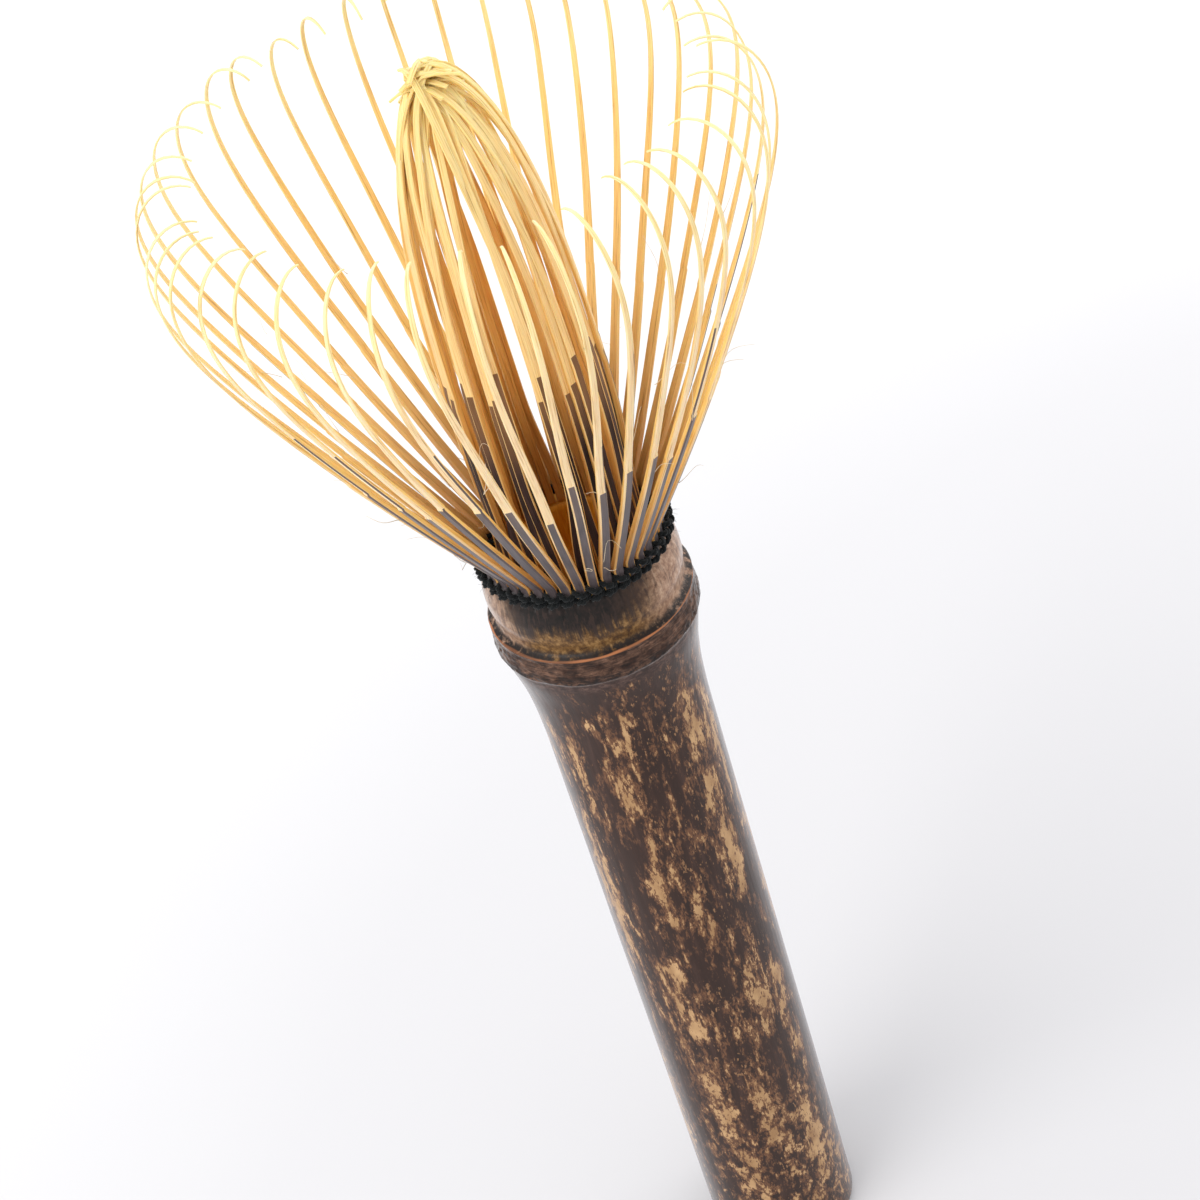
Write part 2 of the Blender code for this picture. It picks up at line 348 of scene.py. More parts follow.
def fleck_level(made, place, height, fine, broad):
    """How near each point of the handle's skin is to being a tan fleck."""
    long_flecks = made.long_noise(place, (0.85, 0.85, 0.24), 6.0, 0.66, 0.3)
    round_flecks = made.long_noise(place, (0.80, 0.80, 0.46), 6.0, 0.64, 0.3)
    low = made.step(height, -58.0, -92.0)
    level = made.plus(made.times(long_flecks, made.minus(1.0, low)), made.times(round_flecks, low))
    level = made.plus(level, made.swing(fine, 0.34))
    level = made.plus(level, made.swing(broad, 0.25))
    level = made.plus(level, made.times(made.attribute("streaks", "Fac"), 0.155))
    level = made.plus(level, made.times(low, 0.016))
    level = made.minus(level, made.step(height, -14.0, -5.0, 0.012, 0.052))
    web = made.long_noise(place, (0.95, 0.95, 0.42), 4.0, 0.6)
    web = made.math("ABSOLUTE", made.minus(web, 0.5))
    return made.minus(level, made.step(web, 0.040, 0.0, 0.0, 0.070))


def handle_color(made, place, level, flecks, broad):
    """Dark skin, with a brown halo round each tan fleck and fine specks between them."""
    shade = made.long_noise(place, (1.1, 1.1, 0.10), 4.0, 0.6)
    dark = made.ramp(shade, [
        (0.30, (0.026, 0.012, 0.008)),
        (0.55, (0.040, 0.018, 0.012)),
        (0.75, (0.070, 0.034, 0.024)),
    ])
    color = made.mix(made.step(level, 0.475, 0.600), dark, (0.165, 0.073, 0.034))
    tint = made.long_noise(place, (0.5, 0.5, 0.3), 3.0)
    pale = made.ramp(tint, [(0.35, (0.370, 0.205, 0.090)), (0.65, (0.570, 0.350, 0.170))])
    color = made.mix(flecks, color, pale)
    specks = made.long_noise(place, (2.3, 2.3, 0.9), 4.0, 0.6)
    specks = made.times(made.step(specks, 0.60, 0.66), made.step(broad, 0.42, 0.55))
    return made.mix(specks, color, (0.290, 0.150, 0.070))


def collar_color(made, place, wavy, ragged):
    """Gold in front and a painted pink highlight on the flanks, darkened by smoke, soot and fine lines from
    above.
    """
    side = made.part(place, "X")
    mottle = made.long_noise(place, (1.5, 1.5, 1.3), 6.0, 0.68)
    patchy = made.long_noise(place, (0.22, 0.22, 0.10), 2.0)
    stripes = made.long_noise(place, (2.0, 2.0, 0.14), 4.0, 0.6)
    fingers = made.plus(wavy, made.swing(stripes, 5.0))
    front = made.step(made.part(place, "Y"), 6.0, -7.5)
    front = made.times(front, made.plus(made.times(patchy, 0.8), 0.75), True)
    gold = made.ramp(mottle, [
        (0.36, (0.055, 0.024, 0.006)),
        (0.50, (0.150, 0.071, 0.018)),
        (0.64, (0.310, 0.170, 0.058)),
    ])
    # the pink is a painted highlight along the collar's left and right edges
    pink = made.ramp(mottle, [
        (0.34, (0.200, 0.105, 0.065)),
        (0.50, (0.400, 0.240, 0.155)),
        (0.66, (0.560, 0.380, 0.270)),
    ])
    soot = made.ramp(mottle, [(0.36, (0.003, 0.002, 0.001)), (0.66, (0.018, 0.009, 0.007))])
    # mask of the flanks, where the painted pink highlight lies
    flank_highlight = made.plus(made.step(side, -7.0, -10.2), made.step(side, 3.0, 8.5), True)
    color = made.mix(flank_highlight, gold, pink)
    smoked = made.times(made.step(fingers, 2.2, 5.4), made.step(flank_highlight, 0.9, 0.1, 0.12, 0.85))
    color = made.mix(smoked, color, (0.060, 0.030, 0.020))
    scorched = made.times(made.step(side, 7.5, 0.5), made.step(side, -10.0, -7.0, 0.1, 1.0))
    charred = made.times(made.step(fingers, 2.2, 4.4), made.times(front, scorched))
    color = made.mix(charred, color, soot)
    lines = made.times(made.step(stripes, 0.52, 0.60), made.step(fingers, 1.5, 4.0, 0.0, 0.75))
    lines = made.times(lines, made.step(flank_highlight, 0.3, 1.0, 1.0, 0.45))
    color = made.mix(lines, color, (0.034, 0.018, 0.013))
    groove = made.times(made.step(wavy, 0.95, 0.35), made.step(ragged, 0.30, 0.50))
    return made.mix(groove, color, (0.014, 0.008, 0.006))


def scar_color(made, place, height, grit):
    """The rough scar under the ridge, with fine rings and worn blotches, and darker at its lower edge."""
    blotches = made.long_noise(place, (0.45, 0.45, 0.9), 4.0, 0.6)
    fine_rings = made.long_noise(place, (0.35, 0.35, 5.5), 4.0, 0.6)
    color = made.ramp(grit, [
        (0.39, (0.010, 0.005, 0.003)),
        (0.47, (0.048, 0.022, 0.012)),
        (0.57, (0.125, 0.062, 0.038)),
        (0.68, (0.310, 0.185, 0.125)),
    ])
    rings = made.ramp(fine_rings, [(0.38, (0.030, 0.015, 0.010)), (0.62, (0.190, 0.108, 0.076))])
    color = made.mix(0.5, color, rings)
    worn = made.ramp(blotches, [
        (0.40, (0.30, 0.22, 0.18)),
        (0.54, (0.90, 0.84, 0.78)),
        (0.66, (1.50, 1.45, 1.40)),
    ])
    color = made.mix(1.0, color, worn, "MULTIPLY")
    low = made.times(made.step(height, -1.9, -2.9), made.step(grit, 0.42, 0.52, 1.0, 0.3))
    return made.mix(low, color, (0.014, 0.009, 0.008))


def smoked_skin():
    """The culm's outside: dark smoked skin with lengthwise tan flecks, and the node's colored bands."""
    made = Shading("smoked_culm_skin")
    place = made.place()
    height = made.minus(made.part(place, "Z"), RIDGE / MM)
    fine = made.long_noise(place, (3.0, 3.0, 1.0), 4.0, 0.6)
    broad = made.long_noise(place, (0.16, 0.16, 0.045), 2.0)
    ragged = made.long_noise(place, (0.9, 0.9, 0.5), 5.0, 0.65)
    grit = made.long_noise(place, (1.0, 1.0, 2.0), 6.0, 0.7)
    wavy = made.plus(height, made.swing(ragged, 1.6))
    level = fleck_level(made, place, height, fine, broad)
    flecks = made.step(level, 0.600, 0.640)

    neck = made.ramp(grit, [
        (0.38, (0.026, 0.013, 0.010)),
        (0.52, (0.070, 0.038, 0.030)),
        (0.68, (0.150, 0.090, 0.070)),
    ])
    bands = made.mix(made.step(height, -3.35, -3.15), neck, scar_color(made, place, height, grit))
    bands = made.mix(made.step(height, -0.15, 0.12), bands, collar_color(made, place, wavy, ragged))
    # a painted highlight: a pale line along the lower lip of the scar
    scar_rim_highlight = made.times(made.step(height, -3.75, -3.50), made.step(height, -3.25, -3.38))
    bands = made.mix(made.times(scar_rim_highlight, 0.5), bands, (0.170, 0.110, 0.085))
    ridge_line = made.times(made.step(height, -0.16, -0.02), made.step(height, 0.13, 0.05))
    bright = made.step(broad, 0.38, 0.58, 0.35, 1.0)
    bands = made.mix(made.times(ridge_line, bright), bands, (0.430, 0.160, 0.062))
    handle = handle_color(made, place, level, flecks, broad)
    made.set("Base Color", made.mix(made.step(wavy, -5.6, -4.0), handle, bands))

    streaky = made.long_noise(place, (4.5, 4.5, 0.25), 4.0, 0.6)
    rough = made.plus(made.times(streaky, 0.16), made.times(flecks, 0.08))
    scarred = made.times(made.step(height, -4.0, -3.0), made.step(height, 0.5, -0.2, 0.05, 0.20))
    made.set("Roughness", made.plus(made.plus(rough, scarred), 0.25))
    made.set("Specular IOR Level", 0.26)
    facing = made.node("ShaderNodeLayerWeight", {"Blend": 0.5}).outputs["Facing"]
    made.set("Coat Weight", made.step(facing, 0.52, 0.86, 0.0, 0.75))
    made.set("Coat Roughness", 0.16)
    relief = made.plus(made.times(streaky, 0.5), made.times(fine, 0.3))
    relief = made.plus(relief, made.times(grit, made.step(height, -3.6, -3.0, 0.0, 1.2)))
    made.bump(relief, 0.35, 0.07 * MM)
    return made.material


def raw_bamboo():
    """Cut and inner bamboo: the handle's end, the hollow and the well inside the collar, with painted shade
    towards the bottom of the well.
    """
    made = Shading("raw_culm_bamboo")
    place = made.place()
    height = made.minus(made.part(place, "Z"), RIDGE / MM)
    fibres = made.long_noise(place, (5.0, 5.0, 0.35), 4.0, 0.6)
    amber = made.ramp(fibres, [
        (0.30, (0.680, 0.290, 0.018)),
        (0.60, (0.880, 0.440, 0.035)),
        (0.80, (0.950, 0.560, 0.080)),
    ])
    dots = made.long_noise(place, (2.8, 2.8, 0.4), 2.0)
    buff = made.ramp(dots, [
        (0.35, (0.300, 0.185, 0.095)),
        (0.50, (0.460, 0.310, 0.165)),
        (0.70, (0.560, 0.400, 0.230)),
    ])
    # painted shade: the amber in the well turns darker towards its bottom
    painted_well_shade = made.step(height, 1.2, -0.8)
    amber = made.mix(made.times(painted_well_shade, 0.6), amber, (0.330, 0.085, 0.012))
    made.set("Base Color", made.mix(made.step(height, -3.0, -1.5), buff, amber))
    made.set("Roughness", made.plus(made.times(fibres, 0.2), 0.42))
    made.bump(fibres, 0.5, 0.08 * MM)
    return made.material


def split_bamboo(name, pale, golden, tip, root):
    """Split bamboo with long fibres: pale on the outer face, golden inside, root and tip at the ends."""
    made = Shading(name)
    grain = made.attribute("grain", "Vector")
    along = made.attribute("along", "Fac")
    depth = made.part(grain, "Y")
    fibres = made.long_noise(grain, (7.5, 7.5, 0.16), 4.0, 0.62)
    broad = made.long_noise(grain, (1.6, 1.6, 0.05), 2.0)
    body = made.mix(made.step(depth, 0.05, 0.32), pale, golden)
    body = made.mix(made.step(along, 0.36, 0.04), body, root)
    body = made.mix(made.step(along, 0.62, 0.98), body, tip)
    shade = made.ramp(fibres, [
        (0.28, (0.42, 0.31, 0.18)),
        (0.41, (0.84, 0.78, 0.66)),
        (0.52, (1.00, 1.00, 1.00)),
    ])
    body = made.mix(1.0, body, shade, "MULTIPLY")
    warm = made.ramp(broad, [(0.35, (0.92, 0.86, 0.72)), (0.65, (1.0, 1.0, 1.0))])
    body = made.mix(0.7, body, warm, "MULTIPLY")
    made.set("Base Color", body)
    made.set("Roughness", made.plus(made.times(fibres, 0.2), 0.36))
    made.set("Subsurface Weight", 0.35)
    made.set("Subsurface Radius", (1.0, 0.62, 0.25))
    made.set("Subsurface Scale", 0.7 * MM)
    made.bump(fibres, 0.4, 0.05 * MM)
    return made.material


def tine_skin(name, dark, light, roughness, gloss, fading):
    """The smoked skin left on the tines, with fine lengthwise lines; fading is how far it pales."""
    made = Shading(name)
    grain = made.attribute("grain", "Vector")
    lines = made.long_noise(grain, (9.0, 9.0, 0.22), 4.0, 0.6)
    patches = made.long_noise(grain, (0.8, 0.8, 0.14), 3.0)
    level = made.plus(made.times(lines, 0.55), made.times(patches, 0.45))
    color = made.ramp(level, [(0.36, dark), (0.62, light)])
    shaved = made.step(made.attribute("along", "Fac"), 0.24, 0.37, 0.0, fading)
    made.set("Base Color", made.mix(made.times(shaved, level), color, (0.360, 0.180, 0.075)))
    made.set("Roughness", made.plus(made.times(lines, 0.18), roughness))
    made.set("Specular IOR Level", gloss)
    made.bump(lines, 0.4, 0.04 * MM)
    return made.material


def cotton():
    """Black cotton thread, dusty on its raised fibres."""
    made = Shading("black_cotton")
    place = made.place()
    fuzz = made.noise(place, 9.0, 4.0, 0.7)
    made.set("Base Color", made.ramp(fuzz, [
        (0.35, (0.003, 0.004, 0.004)),
        (0.62, (0.012, 0.014, 0.015)),
        (0.78, (0.050, 0.055, 0.056)),
    ]))
    made.set("Roughness", made.plus(made.times(fuzz, 0.15), 0.78))
    made.set("Specular IOR Level", 0.12)
    made.set("Sheen Weight", 0.10)
    made.bump(fuzz, 0.6, 0.05 * MM)
    return made.material


def pale_fibre():
    """Loose pale fibres torn from the split bamboo."""
    made = Shading("loose_fibre")
    tint = made.noise(made.place(), 1.2, 2.0)
    made.set("Base Color", made.ramp(tint, [(0.3, (0.72, 0.55, 0.33)), (0.7, (0.88, 0.78, 0.60))]))
    made.set("Roughness", 0.5)
    return made.material


def floor_paper():
    """Pale paper with painted shade: greyer round one place in front of the whisk and paler with the
    distance from it.
    """
    made = Shading("pale_floor")
    place = made.place()
    tint = made.noise(place, 0.01, 2.0)
    painted_shade_centre, reach = (130.0, -90.0, 0.0), 1000.0  # in millimetres
    away = made.node("ShaderNodeVectorMath", {0: place, 1: painted_shade_centre}, operation="DISTANCE")
    lift = made.plus(away.outputs["Value"], made.times(tint, 30.0))
    lift = made.math("DIVIDE", lift, reach, True)
    # the grey stops near that place are painted shade on the floor, not the paper's own colour
    made.set("Base Color", made.ramp(lift, [
        (0.11, (0.628, 0.623, 0.639)),
        (0.25, (0.670, 0.666, 0.681)),
        (0.36, (0.785, 0.784, 0.788)),
        (1.00, (0.955, 0.955, 0.960)),
    ]))
    made.set("Roughness", 0.75)
    return made.material


# ---------------------------------------------------------------- the culm

# Lengthwise pale streaks in the smoked skin: azimuth in degrees, height in millimetres, half width in
# degrees, half length in millimetres
STREAKS = [
    (-110, 88, 8, 11), (-104, 80, 7, 8), (-97, 93, 3, 6), (-48, 90, 8, 11), (-28, 88, 9, 14),
    (-107, 67, 10, 7), (-47, 70, 9, 6), (-86, 63, 6, 5), (-120, 52, 12, 9), (-62, 47, 8, 8),
    (-38, 40, 8, 12), (-118, 30, 12, 9), (-84, 28, 9, 6), (-50, 20, 10, 12), (-104, 14, 12, 9),
    (-138, 90, 5, 7), (-150, 66, 7, 12), (-10, 66, 8, 14), (20, 84, 9, 12), (14, 40, 9, 13),
    (52, 70, 10, 11), (60, 30, 10, 12), (86, 90, 8, 10), (96, 52, 9, 12), (128, 78, 10, 12),
    (134, 34, 9, 12), (165, 92, 8, 9), (172, 56, 9, 12), (-168, 26, 10, 12), (108, 16, 10, 9),
]


def streak_level(angle, height):
    """How strongly the pale streaks reach a point of the skin, from 0 to 1."""
    level = 0.0
    for azimuth, middle, half_width, half_length in STREAKS:
        across = ((angle * 180 / pi - azimuth + 180) % 360 - 180) / half_width
        up = (height / MM - middle) / half_length
        if abs(across) < 3 and abs(up) < 3:
            level = max(level, exp(-(across * across + up ** 4)))
    return level


def culm_outline():
    """Rows of the culm's outside, from the cut end to the collar's top, as (radius, height) in metres."""
    start = CUT_END + CUT_EDGE
    shape = [
        (start, HANDLE_RADIUS), (-60.0, HANDLE_RADIUS), (-18.0, HANDLE_RADIUS),
        (-15.5, 9.43), (-13.5, 9.52), (-12.0, 9.62),
        (-10.0, 9.84), (-8.0, 10.14), (-6.5, 10.46), (-5.0, 10.80), (-4.2, 10.95), (-3.75, 11.02),
        (-3.5, 11.10), (-3.3, 11.30), (-3.1, 11.42), (-2.6, 11.44), (-1.6, 11.32), (-0.8, 11.20),
        (-0.3, 11.18), (-0.12, 11.26), (0.0, 11.30), (0.10, 11.20), (0.26, 10.88), (0.45, 10.62),
        (0.8, 10.46), (1.2, 10.48), (2.0, 10.64), (3.0, 10.80), (4.0, 10.80), (5.0, 10.66),
        (6.0, 10.40), (6.8, 10.08), (RIM_HEIGHT, 9.92),
    ]
    neck, node = -17.0, -6.0  # the rows are closer together from each of these heights up
    levels = np.concatenate([
        np.linspace(start, neck, 62)[:-1],
        np.linspace(neck, node, 23)[:-1],
        np.linspace(node, RIM_HEIGHT, 100),
    ])
    radii = smooth_curve(shape, levels)
    edge_steps = 5
    turns = [radians(-90 + 90 * i / edge_steps) for i in range(edge_steps)]
    rounded = [(HANDLE_RADIUS - CUT_EDGE + CUT_EDGE * cos(t), start + CUT_EDGE * sin(t)) for t in turns]
    return [(r * MM, RIDGE + z * MM) for r, z in rounded + list(zip(radii, levels))]


def well_rows():
    """Rows inside the collar, from its top down to the diaphragm."""
    rows = [(9.6, 7.22), (8.35, 7.18), (8.1, 6.92), (7.5, 6.88), (7.15, 6.72), (7.1, 6.0), (7.08, 2.4)]
    rows += [(6.95, 1.2), (6.6, 0.4), (5.9, -0.1), (4.6, -0.4), (3.0, -0.55), (1.2, -0.6)]
    return [(r * MM, RIDGE + z * MM) for r, z in rows]


def hollow_rows():
    """Rows of the hollow internode, from the diaphragm's underside down to the cut end."""
    straight_from, spacing = -6.5, 14.4
    rows = [(1.2, -2.4), (3.4, -2.45), (5.1, -2.6), (6.0, -3.3), (6.35, -4.6)]
    rows += [(HOLLOW_RADIUS, straight_from - spacing * k) for k in range(7)]
    rows += [(6.42, -107.5), (6.6, -107.9), (6.85, CUT_END), (7.7, CUT_END)]
    return [(r * MM, RIDGE + z * MM) for r, z in rows]


def crack_depths(rng):
    """How far the split between each two outer tines runs down the collar."""
    deepest = radians(-50)
    depths = []
    for body in OUTER_BODIES:
        facing = 0.5 + 0.5 * cos(azimuth_of(body) + PITCH / 2 - deepest)
        depths.append(rng.choice((0.15, 0.5, 0.9, 1.4)) * MM * (0.5 + facing) + 0.35 * MM)
    return depths


def weathered_radius(radius, height, angle, column, cracks):
    """The outside's radius, with the unevenness of grown bamboo, the rough scar and the cracks added."""
    level = (height - RIDGE) / MM
    place = radial(angle) * (radius / MM)
    around = noise.noise(Vector((place.x / 6, place.y / 6, level / 28)))
    lines = noise.noise(Vector((place.x * 1.6, place.y * 1.6, level / 14)))
    radius += (0.045 * around + 0.016 * lines) * MM
    if -3.6 < level < -0.1:
        rough = smooth(level, -3.6, -3.2) * smooth(-level, 0.1, 0.5)
        rugged = noise.fractal(Vector((place.x * 0.9, place.y * 0.9, level * 1.6)), 0.9, 2.0, 4)
        pits = max(0.0, noise.noise(Vector((place.x * 1.9, place.y * 1.9, level * 2.4))) - 0.25)
        radius += rough * (0.075 * rugged - 0.22 * pits) * MM
    if 0.7 < level:
        swell = smooth(level, 0.7, 2.0)
        radius += swell * 0.05 * noise.noise(Vector((place.x / 2.2, place.y / 2.2, level / 3))) * MM
        crack, offset = divmod(column - COLUMNS_PER_TINE // 2, COLUMNS_PER_TINE)
        depth = cracks[crack % len(cracks)]
        above = smooth(height, COLLAR_TOP - depth, COLLAR_TOP - 0.25 * depth)
        radius -= CRACK_DEPTH * CRACK_SHAPE.get(offset, 0.0) * above
    return radius


def make_culm():
    """The culm as one closed mesh: its hollow, its outside and the well in its collar, row after row."""
    cracks = crack_depths(Random(CRACK_SEED))
    outside = culm_outline()
    rows = [(r, z, "raw") for r, z in hollow_rows()]
    rows += [(r, z, "skin") for r, z in outside]
    rows += [(r, z, "raw") for r, z in well_rows()]
    first = azimuth_of(OUTER_BODIES[0])
    vertices, streaks = [], []
    for r, z, kind in rows:
        for column in range(CULM_COLUMNS):
            angle = first + 2 * pi * column / CULM_COLUMNS
            wave = noise.noise(Vector((cos(angle) * 1.7, sin(angle) * 1.7, 4.2)))
            ripple = noise.noise(Vector((cos(angle) * 6.0, sin(angle) * 6.0, 9.1)))
            near_node = smooth((z - RIDGE) / MM, -7.0, -3.4) * smooth((RIDGE - z) / MM, -2.0, -0.2)
            height = z + near_node * (0.22 * wave + 0.07 * ripple) * MM if kind == "skin" else z
            radius = weathered_radius(r, z, angle, column, cracks) if kind == "skin" else r
            vertices.append(radial(angle) * radius + Vector((0, 0, height)))
            streaks.append(streak_level(angle, z) if kind == "skin" else 0.0)
    faces, slots = [], []
    for row in range(len(rows) - 1):
        skin = rows[row][2] == "skin" and rows[row + 1][2] == "skin"
        low, high = row * CULM_COLUMNS, (row + 1) * CULM_COLUMNS
        for column in range(CULM_COLUMNS):
            after = (column + 1) % CULM_COLUMNS
            faces.append((low + column, low + after, high + after, high + column))
            slots.append(SKIN_SLOT if skin else RAW_SLOT)
    for row, height in ((0, rows[0][1]), (len(rows) - 1, rows[-1][1])):
        vertices.append(Vector((0, 0, height)))
        streaks.append(0.0)
        centre = len(vertices) - 1
        for column in range(CULM_COLUMNS):
            edge = (row * CULM_COLUMNS + column, row * CULM_COLUMNS + (column + 1) % CULM_COLUMNS)
            faces.append((centre, *(edge[::-1] if row == 0 else edge)))
            slots.append(RAW_SLOT)
    piece = make_piece("culm_body", vertices, faces, [smoked_skin(), raw_bamboo()], slots)
    write_attribute(piece, "streaks", "FLOAT", streaks)
    settle(piece, "culm", "smoked_culm_skin", "bamboo_culm")


# ---------------------------------------------------------------- the thread

def strand_point(angle, side, level, slant, phase):
    """A woven strand's middle line: outside one tine, inside the next, climbing as it crosses outside."""
    first = azimuth_of(OUTER_BODIES[0])
    weave = (angle - first) * len(OUTER_BODIES) / 2
    out = side * cos(weave)
    radius = WEAVE_RADIUS + WEAVE_REACH * (out * (1.25 - 0.25 * out * out))
    uneven = 0.07 * noise.noise(Vector((cos(angle) * 9, sin(angle) * 9, phase)))
    climb = slant * sin(weave) * side
    return radial(angle) * (radius + uneven * MM) + Vector((0, 0, level + climb + 1.3 * uneven * MM))


def ply_pair(points, turn):
    """Two plies twisted round a closed line of points, as (vertices, faces) pairs."""
    made = []
    count = len(points)
    for ply in (0.0, pi):
        path = []
        run = 0.0
        for i, point in enumerate(points):
            ahead = (points[(i + 1) % count] - points[i - 1]).normalized()
            side = ahead.cross(Vector((0, 0, 1))).normalized()
            up = side.cross(ahead)
            around = turn + ply + run
            path.append(point + side * (PLY_OFFSET * cos(around)) + up * (PLY_OFFSET * sin(around)))
            run += (points[(i + 1) % count] - point).length * PLY_TWIST
        path.append(path[0])
        made.append(tube(path, [PLY_RADIUS] * len(path), PLY_SIDES))
    return made


def make_thread():
    """The cotton thread: two twined courses round the roots of the outer tines, and its fuzz."""
    rng = Random(THREAD_SEED)
    black = cotton()
    steps = POINTS_PER_TINE * len(OUTER_BODIES)
    shapes = []
    lines = []
    for level, slant in COURSES:
        for side in (1, -1):
            phase = rng.uniform(0, 50)
            line = [strand_point(2 * pi * i / steps, side, level, slant, phase) for i in range(steps)]
            lines.append(line)
            shapes += ply_pair(line, rng.uniform(0, pi))
    vertices, faces = join_shapes(shapes)
    turns = make_piece("thread_twined_turns", vertices, faces, [black])
    settle(turns, "culm", "black_thread", "binding_thread_outer_turns", "binding_thread_inner_run")
    hairs = []
    for _ in range(HAIRS):
        line = rng.choice(lines)
        i = rng.randrange(len(line))
        start = line[i]
        out = Vector((start.x, start.y, 0)).normalized()
        along = (line[(i + 1) % len(line)] - start).normalized()
        aim = out * rng.uniform(-0.1, 1) + along * rng.uniform(-1, 1)
        aim = (aim + Vector((0, 0, rng.uniform(-0.8, 0.9)))).normalized()
        bend = Vector((rng.uniform(-1, 1), rng.uniform(-1, 1), rng.uniform(-1, 1)))
        length = rng.uniform(0.35, 1.05) * MM
        path = [start + aim * (length * t) + bend * (0.35 * length * t * t) for t in (0.0, 0.4, 0.7, 1.0)]
        hairs.append(tube(path, HAIR_RADII, HAIR_SIDES))
    vertices, faces = join_shapes(hairs)
    fuzz = make_piece("thread_fuzz", vertices, faces, [black])
    settle(fuzz, "culm", "black_thread")


# ---------------------------------------------------------------- blades

class Station(NamedTuple):
    """One section of a blade, placed by the middle of its outer face.

    Its six sides start with the outer face; skins says which of them have their dark skin from here up.
    """
    point: Vector
    along: Vector
    across: Vector
    width: float
    thickness: float
    chamfer: float
    length: float  # from the root
    share: float  # of the whole length
    skins: list


def blade_mesh(name, stations, materials, seed):
    """A split blade through its stations; seed shifts its grain."""
    vertices, grain, share_of = [], [], []
    for point, along, across, width, thickness, chamfer, length, share, _ in stations:
        inward = along.cross(across).normalized()
        half, inner = width / 2, width * INNER_FACE
        section = [(chamfer - half, 0.0), (half - chamfer, 0.0), (half, chamfer), (inner, thickness)]
        section += [(-inner, thickness), (-half, chamfer)]
        for side, depth in section:
            vertices.append(point + across * side + inward * depth)
            grain.append((side / MM + 3.7 * seed, depth / MM, length / MM))
            share_of.append(share)
    faces, slots = [], []
    for ring in range(len(stations) - 1):
        low, high = ring * SECTION_SIDES, (ring + 1) * SECTION_SIDES
        for k in range(SECTION_SIDES):
            j = (k + 1) % SECTION_SIDES
            faces.append((low + k, low + j, high + j, high + k))
            slots.append(LEFT_SKIN_SLOT if k in stations[ring].skins else SPLIT_SLOT)
    top = (len(stations) - 1) * SECTION_SIDES
    faces += [tuple(reversed(range(SECTION_SIDES))), tuple(range(top, top + SECTION_SIDES))]
    slots += [SPLIT_SLOT, SPLIT_SLOT]
    piece = make_piece(name, vertices, faces, materials, slots, sharp=BLADE_SHARP_ANGLE)
    write_attribute(piece, "grain", "FLOAT_VECTOR", grain)
    write_attribute(piece, "along", "FLOAT", share_of)
    return piece


def outer_meridian(splay, bow, curl_rate, curl_start, length):
    """Length, radius, height and lean along an outer blade's outer face, closely sampled."""
    step = 0.1 * MM
    lengths = np.arange(0.0, length + step / 2, step)
    bend = np.clip((lengths - OUTER_BEND[0]) / OUTER_BEND[1], 0, 1)
    curl = curl_rate * CURL_SOFTNESS * np.log1p(np.exp((lengths - curl_start) / CURL_SOFTNESS))
    lean = bend * bend * (3 - 2 * bend) * (splay - bow * lengths - curl)
    radii = OUTER_ROOT_RADIUS + np.concatenate([[0], np.cumsum(np.sin(lean[:-1]) * step)])
    heights = THREAD_LOW + np.concatenate([[0], np.cumsum(np.cos(lean[:-1]) * step)])
    return lengths, radii, heights, lean


def outer_lengths(length, skin):
    """Where an outer blade has its sections: close at the bend, at the skin's end and in the curl."""
    lengths = [0.0, 0.6, 1.0, 1.25, 1.5, 1.75, 2.0, 2.3, 3.0, 4.0]
    lengths += list(np.arange(6.0, 44.0, 2.0)) + list(np.arange(44.0, length / MM - 0.3, 0.9))
    lengths = [s * MM for s in lengths] + [length - 0.25 * MM, length]
    lengths = [s for s in lengths if abs(s - skin) > 0.5 * MM]
    return sorted(lengths + [skin - 0.02 * MM, skin, skin + 0.28 * MM])


